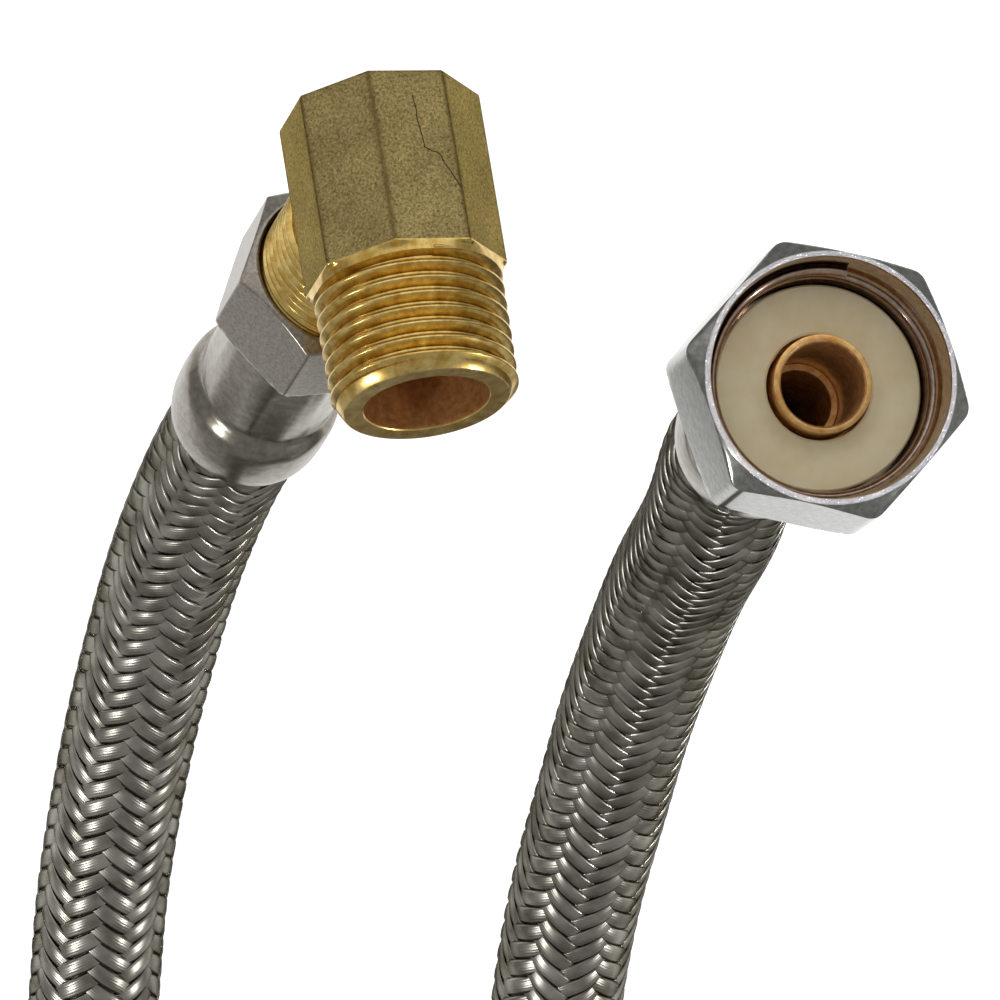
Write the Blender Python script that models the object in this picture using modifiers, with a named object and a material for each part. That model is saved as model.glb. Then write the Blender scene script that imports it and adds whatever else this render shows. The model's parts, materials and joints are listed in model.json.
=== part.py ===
"""A braided supply line: a plumbing hose with a brass elbow on one end and a swivel nut on the other.

The hose lies on the floor in a tied coil. Both of its ends leave the coil along the floor and curl
upwards, held by the stiffness of the braid. Metres, +Z up, the origin on the floor under the middle.
"""

import math

import bmesh
import bpy
import numpy as np
from mathutils import Matrix, Vector

GAP = 0.0003  # left between pieces that touch
ROUND = 40  # sides of a turned piece

# The hose and its coil
HOSE_OD = 0.0127
COIL_MIDDLE = (0.0246, 0.1427)
COIL_RADIUS = 0.0635  # at the middle of the turns, ten hose diameters across
BUNDLE_RADIUS = HOSE_OD / math.sqrt(3)  # three turns lie around this circle
COIL_LIFT = 0.0013  # the straps under the coil hold it this high
STRAP_THICK = 0.001
COIL_SIDES = 48  # of the turned ring; a strap is as wide as one side
STRAP_ANGLES = (22.5, 142.5, 262.5)  # degrees round the coil

# The elbow end: a frame where the two arms' axes cross
ELBOW_PLACE = (0.00949, -0.05513, 0.06165)
ELBOW_PORT_AXIS = (-0.2855, -0.6848, 0.6705)  # along the hose end, away from the hose
ELBOW_MOUTH_AXIS = (-0.1519, 0.7231, 0.6739)  # out of the pipe-thread arm
BLOCK_ACROSS_FLATS = 0.0164
BLOCK_TOP = 0.0070  # from the port's axis to the closed end
BLOCK_BOTTOM = 0.0100  # from the port's axis to where the pipe thread starts
MOUTH_REACH = 0.0211  # from the port's axis to the mouth's rim
PIPE_THREAD_R = (0.0083, 0.0079)  # at the block and at the mouth, a taper of 1 in 16
MOUTH_BORE_R = 0.00545
PORT_THREAD_R = 0.00685
PORT_BORE_R = 0.0036
PORT_END = 0.0195  # how far down the port reaches from the mouth's axis

# The coupling nut and what it pulls together, as distances down the hose from the mouth's axis
NUT_FRONT = 0.01667
NUT_BACK = 0.0262
NUT_ACROSS_FLATS = 0.0158
NUT_BORE_R = 0.0072
NUT_SHOULDER = 0.0237
GASKET_TOP = PORT_END + GAP
GASKET_THICK = 0.0015
FLANGE_R = 0.0064
STEM_R = 0.0048
STEM_BORE_R = 0.0031

# The ferrules, the same at both ends
FERRULE_LONG = 0.022
FERRULE_NECK_R = 0.0064
FERRULE_LIP_R = 0.0073
FERRULE_LIP_LONG = 0.0062
FERRULE_WALL = 0.0005
BARB_R = 0.0039
TUBE_END_R = (0.0042, 0.0049)
BRAID_END_R = (0.0052, 0.0056)

# The supply end: a frame at the middle of the swivel nut's rim
SUPPLY_PLACE = (-0.02793, -0.04799, 0.09207)
SUPPLY_AXIS = (-0.177, -0.4768, 0.861)  # out of the nut
SUPPLY_CORNER = (0.9672, -0.2464, 0.0623)  # from the axis towards one corner of the nut
SWIVEL_ACROSS_FLATS = 0.0218
SWIVEL_CORNER_ROUND = 0.0006
SWIVEL_LONG = 0.011
SWIVEL_RIM_R = 0.0107
SWIVEL_MOUTH_R = 0.0103
SWIVEL_MOUTH_DEEP = 0.0026
SWIVEL_THREAD_R = 0.0096
SWIVEL_WEB_TOP = 0.0089
SWIVEL_WEB_R = 0.0055
WASHER_TOP = 0.0054
WASHER_THICK = 0.0016
WASHER_R = 0.0089
TAIL_R = 0.00425
TAIL_BORE_R = 0.0036
TAIL_STEP_R = 0.0029
TAIL_STEP_DEEP = 0.014
TAIL_PROUD = 0.002
TAIL_FLANGE_R = 0.0088
TAIL_FLANGE_THICK = 0.0013

# The middle of the whole line, which is moved to the origin
WHOLE_MIDDLE = Vector((0.0246, 0.0769, 0.0))
SAMPLE = 0.0003  # along a stretch, when looking for where it meets the coil

# Route points of the two uncoiled stretches, each from its ferrule's lip to the coil
ELBOW_STRETCH = (
    (0.0286, -0.0082, 0.0185),
    (0.0308, -0.0008, 0.0144),
    (0.0330, 0.0080, 0.0112),
    (0.0350, 0.0170, 0.0089),
    (0.0368, 0.0270, 0.0074),
    (0.0381, 0.0365, 0.0066),
    (0.0388, 0.0448, 0.0064),
    (0.0420, 0.0603, 0.0066),
    (0.0502, 0.0751, 0.0071),
)
SUPPLY_STRETCH = (
    (-0.0195, -0.0218, 0.0505),
    (-0.0166, -0.0098, 0.0366),
    (-0.0139, 0.0013, 0.0266),
    (-0.0115, 0.0116, 0.0194),
    (-0.0095, 0.0215, 0.0142),
    (-0.0075, 0.0310, 0.0103),
    (-0.0061, 0.0395, 0.0080),
    (-0.0051, 0.0500, 0.0067),
    (-0.0064, 0.0625, 0.0065),
    (-0.0121, 0.0772, 0.0071),
)
COIL_STARTS = math.radians(227.7)  # where the supply stretch joins the coil
COIL_TURNS = math.radians(2 * 360 + 283.7)  # clockwise, to where the elbow stretch leaves it

BRASS = ((0.34, 0.23, 0.07, 1), 0.35, 1.0)
NICKEL = ((0.42, 0.40, 0.37, 1), 0.3, 1.0)
CHROME = ((0.6, 0.6, 0.58, 1), 0.12, 1.0)
STEEL = ((0.36, 0.35, 0.32, 1), 0.32, 1.0)
BRAID = ((0.2, 0.2, 0.18, 1), 0.4, 1.0)
RUBBER = ((0.02, 0.02, 0.02, 1), 0.7, 0.0)
WASHER = ((0.47, 0.42, 0.3, 1), 0.6, 0.0)
NYLON = ((0.02, 0.02, 0.02, 1), 0.5, 0.0)


# ---------------------------------------------------------------- helpers


def clear_scene():
    for thing in list(bpy.data.objects):
        bpy.data.objects.remove(thing, do_unlink=True)


def collection(name):
    group = bpy.data.collections.new(name)
    bpy.context.scene.collection.children.link(group)
    return group


def material(name, finish):
    colour, rough, metal = finish
    made = bpy.data.materials.new(name)
    made.use_nodes = True
    shader = made.node_tree.nodes["Principled BSDF"]
    shader.inputs["Base Color"].default_value = colour
    shader.inputs["Roughness"].default_value = rough
    shader.inputs["Metallic"].default_value = metal
    return made


def place(thing, parent, group):
    group.objects.link(thing)
    thing.parent = parent
    return thing


def mesh_object(name, bm, parent, group, sharp=35):
    mesh = bpy.data.meshes.new(name)
    bm.to_mesh(mesh)
    bm.free()
    mesh.shade_smooth()
    mesh.set_sharp_from_angle(angle=math.radians(sharp))
    return place(bpy.data.objects.new(name, mesh), parent, group)


def turned(name, profile, parent, group, steps=ROUND):
    """A body turned about Z from a closed profile of (radius, height), down its outer side first."""
    mesh = bpy.data.meshes.new(name)
    points = [(radius, 0.0, height) for radius, height in profile]
    edges = [(i, (i + 1) % len(points)) for i in range(len(points))]
    mesh.from_pydata(points, edges, [])
    body = place(bpy.data.objects.new(name, mesh), parent, group)
    screw = body.modifiers.new("turn", "SCREW")
    screw.axis = "Z"
    screw.angle = math.tau
    screw.steps = screw.render_steps = steps
    screw.use_merge_vertices = True
    screw.merge_threshold = 0.00001
    screw.use_smooth_shade = True
    return body


def ring(name, outer, inner, top, bottom, parent, group, steps=ROUND):
    profile = [(outer, top), (outer, bottom), (inner, bottom), (inner, top)]
    return turned(name, profile, parent, group, steps)


def rod(bm, radius_low, radius_high, low, high, along, sides=ROUND):
    """A cylinder or cone about an axis through the origin, from low to high along it."""
    turn = Vector((0, 0, 1)).rotation_difference(along).to_matrix().to_4x4()
    middle = Matrix.Translation((0, 0, (low + high) / 2))
    bmesh.ops.create_cone(
        bm,
        cap_ends=True,
        segments=sides,
        radius1=radius_low,
        radius2=radius_high,
        depth=high - low,
        matrix=turn @ middle,
    )


def cutter(thing):
    thing.hide_render = True
    thing.display_type = "WIRE"
    return thing


def cut(body, tool, operation="DIFFERENCE"):
    step = body.modifiers.new(operation.lower(), "BOOLEAN")
    step.operation = operation
    step.solver = "EXACT"
    step.object = tool


def frame(name, origin, z_axis, x_axis, group):
    """An empty whose Z lies along z_axis and whose X is as near x_axis as it can be."""
    up = Vector(z_axis).normalized()
    side = Vector(x_axis)
    side = (side - side.dot(up) * up).normalized()
    turn = Matrix((side, up.cross(side), up)).transposed().to_4x4()
    empty = bpy.data.objects.new(name, None)
    group.objects.link(empty)
    empty.matrix_world = Matrix.Translation(Vector(origin) - WHOLE_MIDDLE) @ turn
    return empty


def hexagon_bar(bm, across_flats, low, high, corner_round):
    """A hexagonal bar about Z with softened corners, one corner towards +X."""
    bmesh.ops.create_circle(
        bm, cap_ends=True, segments=6, radius=across_flats / math.sqrt(3)
    )
    bmesh.ops.rotate(bm, verts=bm.verts, matrix=Matrix.Rotation(math.pi / 6, 3, "Z"))
    if corner_round:
        bmesh.ops.bevel(
            bm,
            geom=list(bm.verts),
            offset=corner_round,
            segments=3,
            affect="VERTICES",
            profile=0.5,
        )
    bmesh.ops.translate(bm, verts=bm.verts, vec=(0, 0, low))
    grown = bmesh.ops.extrude_face_region(bm, geom=list(bm.faces))
    top = [v for v in grown["geom"] if isinstance(v, bmesh.types.BMVert)]
    bmesh.ops.translate(bm, verts=top, vec=(0, 0, high - low))
    bmesh.ops.recalc_face_normals(bm, faces=bm.faces)


# ---------------------------------------------------------------- the hose's route


def smooth_curve(points, spacing):
    """Points every spacing metres on the natural cubic spline through the given points."""
    knots = np.array(points, float)
    steps = np.linalg.norm(np.diff(knots, axis=0), axis=1)
    at = np.concatenate([[0.0], np.cumsum(steps)])
    size = len(knots)
    system = np.eye(size)
    right = np.zeros((size, 3))
    for i in range(1, size - 1):
        before, after = steps[i - 1], steps[i]
        system[i, i - 1 : i + 2] = before, 2 * (before + after), after
        rise = (knots[i + 1] - knots[i]) / after - (knots[i] - knots[i - 1]) / before
        right[i] = 6 * rise
    bend = np.linalg.solve(system, right)
    wanted = np.linspace(0.0, at[-1], max(2, round(at[-1] / spacing) + 1))
    piece = np.clip(np.searchsorted(at, wanted) - 1, 0, size - 2)
    span = steps[piece][:, None]
    a = (at[piece + 1] - wanted)[:, None] / span
    b = 1 - a
    curved = ((a**3 - a) * bend[piece] + (b**3 - b) * bend[piece + 1]) * span**2 / 6
    return a * knots[piece] + b * knots[piece + 1] + curved


def coil_point(travel):
    """A point on the coil's middle line, after turning clockwise by travel from where it starts.

    The three turns lie around a circle, a hose diameter apart, and it rolls a third of a turn for
    each time round, so that every turn slips into the next place and both ends come out below.
    """
    angle = COIL_STARTS - travel
    roll = math.radians(-30) + travel / 3
    spots = [roll + k * math.tau / 3 for k in range(3)]
    lowest = min(math.sin(spot) for spot in spots)
    radius = COIL_RADIUS + BUNDLE_RADIUS * math.cos(roll)
    height = COIL_LIFT + HOSE_OD / 2 + BUNDLE_RADIUS * (math.sin(roll) - lowest)
    return (
        COIL_MIDDLE[0] + radius * math.cos(angle),
        COIL_MIDDLE[1] + radius * math.sin(angle),
        height,
    )


def stretch_line(lip, away, points, travel):
    """The middle line from a ferrule's lip to the coil, straight out of the lip, up to the coil."""
    straight = lip + 0.007 * away
    route = [lip, straight, *points, coil_point(travel)]
    line = smooth_curve(route, SAMPLE)
    flat = (line - [*COIL_MIDDLE, 0.0])[:, :2]
    ahead = np.gradient(flat, axis=0)
    sideways = np.column_stack([-ahead[:, 1], ahead[:, 0]])
    sideways *= HOSE_OD / 2 / np.linalg.norm(sideways, axis=1)[:, None]
    nearest = np.minimum(
        np.linalg.norm(flat + sideways, axis=1), np.linalg.norm(flat - sideways, axis=1)
    )
    clear = COIL_RADIUS + BUNDLE_RADIUS + HOSE_OD / 2 + 2 * GAP
    line = line[: int(np.argmax(nearest < clear))]
    count = round(len(line) * SAMPLE / (2 * HOSE_OD)) + 1
    return line[np.linspace(0, len(line) - 1, count).round().astype(int)]


def hose_run(name, line, finish, group):
    """The hose as a plain round bar along one uncoiled stretch."""
    path = bpy.data.curves.new(name, "CURVE")
    path.dimensions = "3D"
    path.bevel_depth = HOSE_OD / 2
    path.bevel_resolution = 4
    path.use_fill_caps = True
    spline = path.splines.new("POLY")
    spline.points.add(len(line) - 1)
    for point, spot in zip(spline.points, line, strict=True):
        point.co = (*(Vector(spot) - WHOLE_MIDDLE), 1.0)
    body = place(bpy.data.objects.new(name, path), None, group)
    path.materials.append(finish)
    return body


# ---------------------------------------------------------------- the coil and its straps


def bundle_outline(grow=0.0, low=COIL_LIFT):
    """The coil's section: half circles joined by flats, as (radius from the coil's middle, height)."""
    reach = BUNDLE_RADIUS + HOSE_OD / 2
    high = 2 * reach - 0.0018
    corner = 0.0095
    points = []
    for quarter, (side, up) in enumerate(((1, 1), (1, -1), (-1, -1), (-1, 1))):
        centre_x = COIL_RADIUS + side * (reach - corner)
        centre_z = low + (high - corner if up > 0 else corner)
        for step in range(5):
            angle = math.radians(90 - 90 * quarter - 22.5 * step)
            points.append(
                (
                    centre_x + (corner + grow) * math.cos(angle),
                    centre_z + (corner + grow) * math.sin(angle),
                )
            )
    return points


def hose_coil(middle, finish, group):
    coil = turned("hose_coil", bundle_outline(), middle, group, steps=COIL_SIDES)
    coil.data.materials.append(finish)


def coil_strap(name, degrees, middle, finish, group):
    """A strap round the whole bundle of turns, as wide as one side of the turned coil."""
    strap = turned(name, bundle_outline(grow=GAP), middle, group, steps=1)
    strap.modifiers["turn"].angle = math.tau / COIL_SIDES
    strap.rotation_euler.z = math.radians(degrees)
    wall = strap.modifiers.new("wall", "SOLIDIFY")
    wall.thickness = STRAP_THICK
    wall.offset = 1.0
    strap.data.materials.append(finish)


# ---------------------------------------------------------------- the elbow end


def elbow_body(end, finish, group, tools):
    """An elbow cut from octagonal bar: the pipe thread along +X, the compression port along -Z."""
    along = Vector((1, 0, 0))
    corner = BLOCK_ACROSS_FLATS / 2 / math.cos(math.pi / 8)
    bm = bmesh.new()
    rod(bm, corner, corner, -BLOCK_TOP, BLOCK_BOTTOM, along, sides=8)
    bmesh.ops.rotate(
        bm, verts=bm.verts, matrix=Matrix.Rotation(math.radians(22.5), 3, "X")
    )
    body = mesh_object("elbow_body", bm, end, group)

    bm = bmesh.new()
    rod(bm, *PIPE_THREAD_R, BLOCK_BOTTOM - 0.001, MOUTH_REACH - 0.0008, along)
    thread = cutter(mesh_object("pipe_thread_bar", bm, end, tools))
    bm = bmesh.new()
    high_r = PIPE_THREAD_R[1]
    rod(bm, high_r, high_r - 0.0008, MOUTH_REACH - 0.0009, MOUTH_REACH, along)
    nose = cutter(mesh_object("pipe_thread_nose", bm, end, tools))
    bm = bmesh.new()
    rod(bm, PORT_THREAD_R, PORT_THREAD_R, 0.005, PORT_END, Vector((0, 0, -1)))
    port = cutter(mesh_object("port_bar", bm, end, tools))
    bm = bmesh.new()
    rod(bm, MOUTH_BORE_R, MOUTH_BORE_R, -0.0035, MOUTH_REACH + 0.001, along)
    mouth_bore = cutter(mesh_object("mouth_bore", bm, end, tools))
    bm = bmesh.new()
    rod(bm, PORT_BORE_R, PORT_BORE_R, 0.002, PORT_END + 0.001, Vector((0, 0, -1)))
    port_bore = cutter(mesh_object("port_bore", bm, end, tools))

    cut(body, thread, "UNION")
    cut(body, nose, "UNION")
    cut(body, port, "UNION")
    cut(body, mouth_bore)
    cut(body, port_bore)
    body.data.materials.append(finish)


def coupling_nut(end, finish, group, tools):
    """The nut that draws the stem's flange up to the elbow's port."""
    bm = bmesh.new()
    hexagon_bar(bm, NUT_ACROSS_FLATS, -NUT_BACK, -NUT_FRONT, 0)
    bmesh.ops.rotate(
        bm, verts=bm.verts, matrix=Matrix.Rotation(math.radians(-25), 3, "Z")
    )
    nut = mesh_object("coupling_nut", bm, end, group)
    far = 0.02
    rim = NUT_ACROSS_FLATS / 2
    chamfer = [
        (rim - 0.0002, -NUT_FRONT + 0.0001),
        (far, -NUT_FRONT - (far - rim) * 0.6),
        (far, -NUT_BACK - 0.001),
        (0.001, -NUT_BACK - 0.001),
        (0.001, -NUT_FRONT + 0.0001),
    ]
    cone = cutter(turned("nut_chamfer", chamfer, end, tools))
    bore = [
        (NUT_BORE_R, -NUT_FRONT + 0.001),
        (NUT_BORE_R, -NUT_SHOULDER),
        (STEM_R + GAP, -NUT_SHOULDER),
        (STEM_R + GAP, -NUT_BACK - 0.001),
        (0.001, -NUT_BACK - 0.001),
        (0.001, -NUT_FRONT + 0.001),
    ]
    hole = cutter(turned("nut_bore", bore, end, tools))
    cut(nut, cone, "INTERSECT")
    cut(nut, hole)
    nut.data.materials.append(finish)


def coupling_stem(end, finish, group):
    """The flanged insert that the hose is crimped on."""
    top = GASKET_TOP + GASKET_THICK + GAP
    flange = NUT_SHOULDER - GAP
    behind = NUT_BACK + GAP + FERRULE_WALL + 2 * GAP
    tip = NUT_BACK + FERRULE_LONG - FERRULE_LIP_LONG
    profile = [
        (FLANGE_R, -top),
        (FLANGE_R, -flange),
        (STEM_R, -flange),
        (STEM_R, -behind),
        (BARB_R, -behind - 0.0006),
        (BARB_R, -tip),
        (STEM_BORE_R, -tip),
        (STEM_BORE_R, -top),
    ]
    stem = turned("coupling_stem", profile, end, group)
    stem.data.materials.append(finish)


def cone_gasket(end, finish, group):
    seal = ring(
        "cone_gasket",
        FLANGE_R,
        PORT_BORE_R,
        -GASKET_TOP,
        -GASKET_TOP - GASKET_THICK,
        end,
        group,
    )
    seal.data.materials.append(finish)


# ---------------------------------------------------------------- the ferrules and what they grip


def ferrule(name, top, end, finish, group):
    """A crimped collar from its top, behind a nut, down to its wider lip."""
    low = top + FERRULE_LONG
    lip = low - FERRULE_LIP_LONG
    neck_in = FERRULE_NECK_R - FERRULE_WALL
    lip_in = HOSE_OD / 2 + GAP
    profile = [
        (FERRULE_NECK_R - 0.0003, -top),
        (FERRULE_NECK_R, -top - 0.0003),
        (FERRULE_NECK_R, -lip + 0.0012),
        (FERRULE_LIP_R - 0.0001, -lip + 0.0001),
        (FERRULE_LIP_R, -lip - 0.0008),
        (FERRULE_LIP_R, -low + 0.0009),
        (FERRULE_LIP_R - 0.0003, -low),
        (lip_in, -low),
        (lip_in, -lip - 0.0003),
        (neck_in, -lip + 0.0008),
        (neck_in, -top - FERRULE_WALL),
        (STEM_R + GAP, -top - FERRULE_WALL),
        (STEM_R + GAP, -top),
    ]
    collar = turned(name, profile, end, group)
    collar.data.materials.append(finish)


def sleeve(name, radii, top, end, finish, group):
    """A layer of the hose where the ferrule crimps it, open at both ends."""
    inner, outer = radii
    high = top + FERRULE_WALL + 0.0016
    low = top + FERRULE_LONG - FERRULE_LIP_LONG - 0.0013
    layer = ring(name, outer, inner, -high, -low, end, group)
    layer.data.materials.append(finish)


# ---------------------------------------------------------------- the supply end


def swivel_nut(end, finish, group, tools):
    """The nut with the female pipe thread, which turns on the tailpiece's flange."""
    bm = bmesh.new()
    hexagon_bar(bm, SWIVEL_ACROSS_FLATS, -SWIVEL_LONG, 0.0, SWIVEL_CORNER_ROUND)
    nut = mesh_object("swivel_nut", bm, end, group, sharp=25)
    far = 0.02
    chamfer = [
        (SWIVEL_RIM_R, 0.0001),
        (far, -(far - SWIVEL_RIM_R) * 0.9),
        (far, -SWIVEL_LONG - 0.001),
        (0.001, -SWIVEL_LONG - 0.001),
        (0.001, 0.0001),
    ]
    cone = cutter(turned("swivel_chamfer", chamfer, end, tools))
    bore = [
        (SWIVEL_MOUTH_R, 0.001),
        (SWIVEL_MOUTH_R, -SWIVEL_MOUTH_DEEP),
        (SWIVEL_THREAD_R, -SWIVEL_MOUTH_DEEP - 0.0004),
        (SWIVEL_THREAD_R, -SWIVEL_WEB_TOP),
        (SWIVEL_WEB_R, -SWIVEL_WEB_TOP),
        (SWIVEL_WEB_R, -SWIVEL_LONG - 0.001),
        (0.001, -SWIVEL_LONG - 0.001),
        (0.001, 0.001),
    ]
    hole = cutter(turned("swivel_bore", bore, end, tools))
    cut(nut, cone, "INTERSECT")
    cut(nut, hole)
    nut.data.materials.append(finish)


def flat_washer(end, finish, group):
    seal = ring(
        "flat_washer",
        WASHER_R,
        TAIL_R + GAP,
        -WASHER_TOP,
        -WASHER_TOP - WASHER_THICK,
        end,
        group,
    )
    seal.data.materials.append(finish)


def tailpiece(end, finish, group):
    """The brass tube that the washer sits on, with its flange, and its barb inside the hose."""
    top = WASHER_TOP - TAIL_PROUD
    flange = WASHER_TOP + WASHER_THICK + GAP
    under = flange + TAIL_FLANGE_THICK
    behind = SWIVEL_LONG + GAP + FERRULE_WALL + 2 * GAP
    tip = SWIVEL_LONG + FERRULE_LONG - FERRULE_LIP_LONG
    profile = [
        (TAIL_R, -top),
        (TAIL_R, -flange),
        (TAIL_FLANGE_R, -flange),
        (TAIL_FLANGE_R, -under),
        (STEM_R, -under),
        (STEM_R, -behind),
        (BARB_R, -behind - 0.0006),
        (BARB_R, -tip),
        (TAIL_STEP_R, -tip),
        (TAIL_STEP_R, -TAIL_STEP_DEEP),
        (TAIL_BORE_R, -TAIL_STEP_DEEP),
        (TAIL_BORE_R, -top),
    ]
    tube = turned("tailpiece", profile, end, group)
    tube.data.materials.append(finish)


# ---------------------------------------------------------------- the whole line


def build():
    clear_scene()
    group = collection("braided_supply_line")
    tools = collection("cutters")
    brass = material("brass", BRASS)
    nickel = material("nickel_plate", NICKEL)
    chrome = material("chrome_plate", CHROME)
    steel = material("ferrule_steel", STEEL)
    braid = material("steel_braid", BRAID)
    rubber = material("black_rubber", RUBBER)
    cream = material("cream_washer", WASHER)
    nylon = material("black_nylon", NYLON)

    elbow_end = frame(
        "elbow_end", ELBOW_PLACE, ELBOW_PORT_AXIS, ELBOW_MOUTH_AXIS, group
    )
    elbow_body(elbow_end, brass, group, tools)
    coupling_nut(elbow_end, nickel, group, tools)
    cone_gasket(elbow_end, rubber, group)
    coupling_stem(elbow_end, brass, group)
    elbow_top = NUT_BACK + GAP
    ferrule("elbow_ferrule", elbow_top, elbow_end, steel, group)
    sleeve("elbow_tube_end", TUBE_END_R, elbow_top, elbow_end, rubber, group)
    sleeve("elbow_braid_end", BRAID_END_R, elbow_top, elbow_end, braid, group)

    supply_end = frame("supply_end", SUPPLY_PLACE, SUPPLY_AXIS, SUPPLY_CORNER, group)
    swivel_nut(supply_end, chrome, group, tools)
    flat_washer(supply_end, cream, group)
    tailpiece(supply_end, brass, group)
    supply_top = SWIVEL_LONG + GAP
    ferrule("supply_ferrule", supply_top, supply_end, steel, group)
    sleeve("supply_tube_end", TUBE_END_R, supply_top, supply_end, rubber, group)
    sleeve("supply_braid_end", BRAID_END_R, supply_top, supply_end, braid, group)

    elbow_away = -Vector(ELBOW_PORT_AXIS).normalized()
    elbow_lip = Vector(ELBOW_PLACE) + (elbow_top + FERRULE_LONG + GAP) * elbow_away
    line = stretch_line(elbow_lip, elbow_away, ELBOW_STRETCH, COIL_TURNS)
    hose_run("elbow_hose_run", line, braid, group)
    supply_away = -Vector(SUPPLY_AXIS).normalized()
    supply_lip = Vector(SUPPLY_PLACE) + (supply_top + FERRULE_LONG + GAP) * supply_away
    line = stretch_line(supply_lip, supply_away, SUPPLY_STRETCH, 0.0)
    hose_run("supply_hose_run", line, braid, group)

    middle = bpy.data.objects.new("coil_middle", None)
    group.objects.link(middle)
    middle.location = Vector((*COIL_MIDDLE, 0.0)) - WHOLE_MIDDLE
    hose_coil(middle, braid, group)
    for number, degrees in enumerate(STRAP_ANGLES, start=1):
        coil_strap(f"coil_strap_{number}", degrees, middle, nylon, group)


build()
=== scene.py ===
# %% [markdown]
# # A braided supply line
# A supply line carries water from a pipe to a tap or a cistern. It is a rubber tube inside a
# braid of stainless wire, with a crimped ferrule and a fitting at each end. Here one end has a
# brass elbow with a tapered pipe thread, held by a coupling nut, and the other has a swivel nut
# with a flat washer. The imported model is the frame: this script gives each of its pieces a
# finished surface and never moves or resizes them.

import json
import math

import bpy
import numpy as np
from mathutils import Matrix, Vector


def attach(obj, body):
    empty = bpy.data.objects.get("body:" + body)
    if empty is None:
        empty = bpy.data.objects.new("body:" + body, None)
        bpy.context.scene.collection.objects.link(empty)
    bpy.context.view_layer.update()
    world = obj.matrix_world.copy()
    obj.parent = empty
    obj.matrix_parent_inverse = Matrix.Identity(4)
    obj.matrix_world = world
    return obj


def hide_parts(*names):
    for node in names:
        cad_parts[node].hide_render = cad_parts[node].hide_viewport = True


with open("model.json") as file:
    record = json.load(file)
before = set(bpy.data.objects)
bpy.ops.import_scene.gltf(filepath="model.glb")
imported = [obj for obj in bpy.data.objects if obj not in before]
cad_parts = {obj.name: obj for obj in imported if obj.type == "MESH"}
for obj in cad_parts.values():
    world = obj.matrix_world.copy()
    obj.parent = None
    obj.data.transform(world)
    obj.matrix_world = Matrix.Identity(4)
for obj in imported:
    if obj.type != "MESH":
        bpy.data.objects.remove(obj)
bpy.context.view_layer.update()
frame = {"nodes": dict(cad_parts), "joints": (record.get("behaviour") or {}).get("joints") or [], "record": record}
JOINTS = {joint["name"]: joint for joint in frame["joints"]}
MOUNTS = {mount["name"]: mount for mount in frame["record"]["mounts"]}

# %% [markdown]
# ## Two frames to work in
# Every fitting is turned about one axis, so it is easiest to draw it along Z and to place the
# mesh afterwards. The axes come from the frame's joints and mounts. Sizes below are in
# millimetres, as on a workshop drawing, and one function turns them to metres as it places a
# mesh.

# %% Frames at the fittings
MM = 0.001
SWIVEL_CORNER = (0.9672, -0.2464, 0.0623)  # from the swivel nut's axis towards one of its corners


def placed(origin, z_axis, x_axis):
    """The matrix that takes Z to z_axis, X as near as can be to x_axis, and zero to origin."""
    up = Vector(z_axis).normalized()
    side = Vector(x_axis)
    side = (side - side.dot(up) * up).normalized()
    turn = Matrix((side, up.cross(side), up)).transposed().to_4x4()
    return Matrix.Translation(Vector(origin)) @ turn


ELBOW_AT = JOINTS["elbow_swivel"]["pos_m"]
PORT_AXIS = JOINTS["elbow_swivel"]["axis"]
MOUTH_AXIS = MOUNTS["pipe_thread_end"]["axis"]
PORT = placed(ELBOW_AT, PORT_AXIS, MOUTH_AXIS)  # Z runs up the hose end, X out of the pipe thread
ARM = placed(ELBOW_AT, MOUTH_AXIS, PORT_AXIS)  # Z runs out of the pipe thread, X up the hose end
SWIVEL = placed(
    JOINTS["swivel_nut_spin"]["pos_m"], JOINTS["swivel_nut_spin"]["axis"], SWIVEL_CORNER
)

# %% [markdown]
# ## The camera, the floor and the light
# The line lies on the floor, and the camera looks down on it at 70 degrees from the side of its
# fittings, upside down, so that the two ends stand up at the top of the picture. The floor is
# white acrylic that glows by itself, full in a disc round the line and fading outside it: a
# painted glow, so nothing casts a shadow where it glows, and the steep faces mirror it. Two small
# softboxes put a bright dot on the wire bundles, and a dim room keeps the faces turned to the
# camera grey.

# %% Camera
WHOLE_MIDDLE = Vector((0.0246, 0.0769, 0.0))  # the working zero's place in the frame, as in the CAD
CAMERA_RIGHT = Vector((-1.0, 0.0, 0.0))
CAMERA_UP = Vector((0.0, -0.93969, -0.34202))
CAMERA_BACK = CAMERA_RIGHT.cross(CAMERA_UP)

camera_data = bpy.data.cameras.new("camera")
camera_data.lens = 358.2
camera_data.sensor_width = 36.0
camera_data.clip_start = 0.01
camera = bpy.data.objects.new("camera", camera_data)
bpy.context.scene.collection.objects.link(camera)
turn = Matrix((CAMERA_RIGHT, CAMERA_UP, CAMERA_BACK)).transposed().to_4x4()
camera.matrix_world = (
    Matrix.Translation(Vector((0.0, -0.3249, 0.8831)) - WHOLE_MIDDLE) @ turn
)
bpy.context.scene.camera = camera
print("camera at", [round(x, 4) for x in camera.location])


# %% Helpers for nodes and colours
def add(tree, kind, inputs=(), **settings):
    """A node with its settings, and its inputs set to values or linked to other nodes' outputs."""
    made = tree.nodes.new(kind)
    for name, value in settings.items():
        setattr(made, name, value)
    for socket, value in dict(inputs).items():
        if isinstance(value, bpy.types.NodeSocket):
            tree.links.new(value, made.inputs[socket])
        else:
            made.inputs[socket].default_value = value
    return made


def hex_colour(text):
    """An sRGB hex colour as linear red, green, blue and alpha."""
    parts = [int(text[i : i + 2], 16) / 255 for i in (1, 3, 5)]
    linear = [p / 12.92 if p <= 0.04045 else ((p + 0.055) / 1.055) ** 2.4 for p in parts]
    return (*linear, 1.0)


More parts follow.
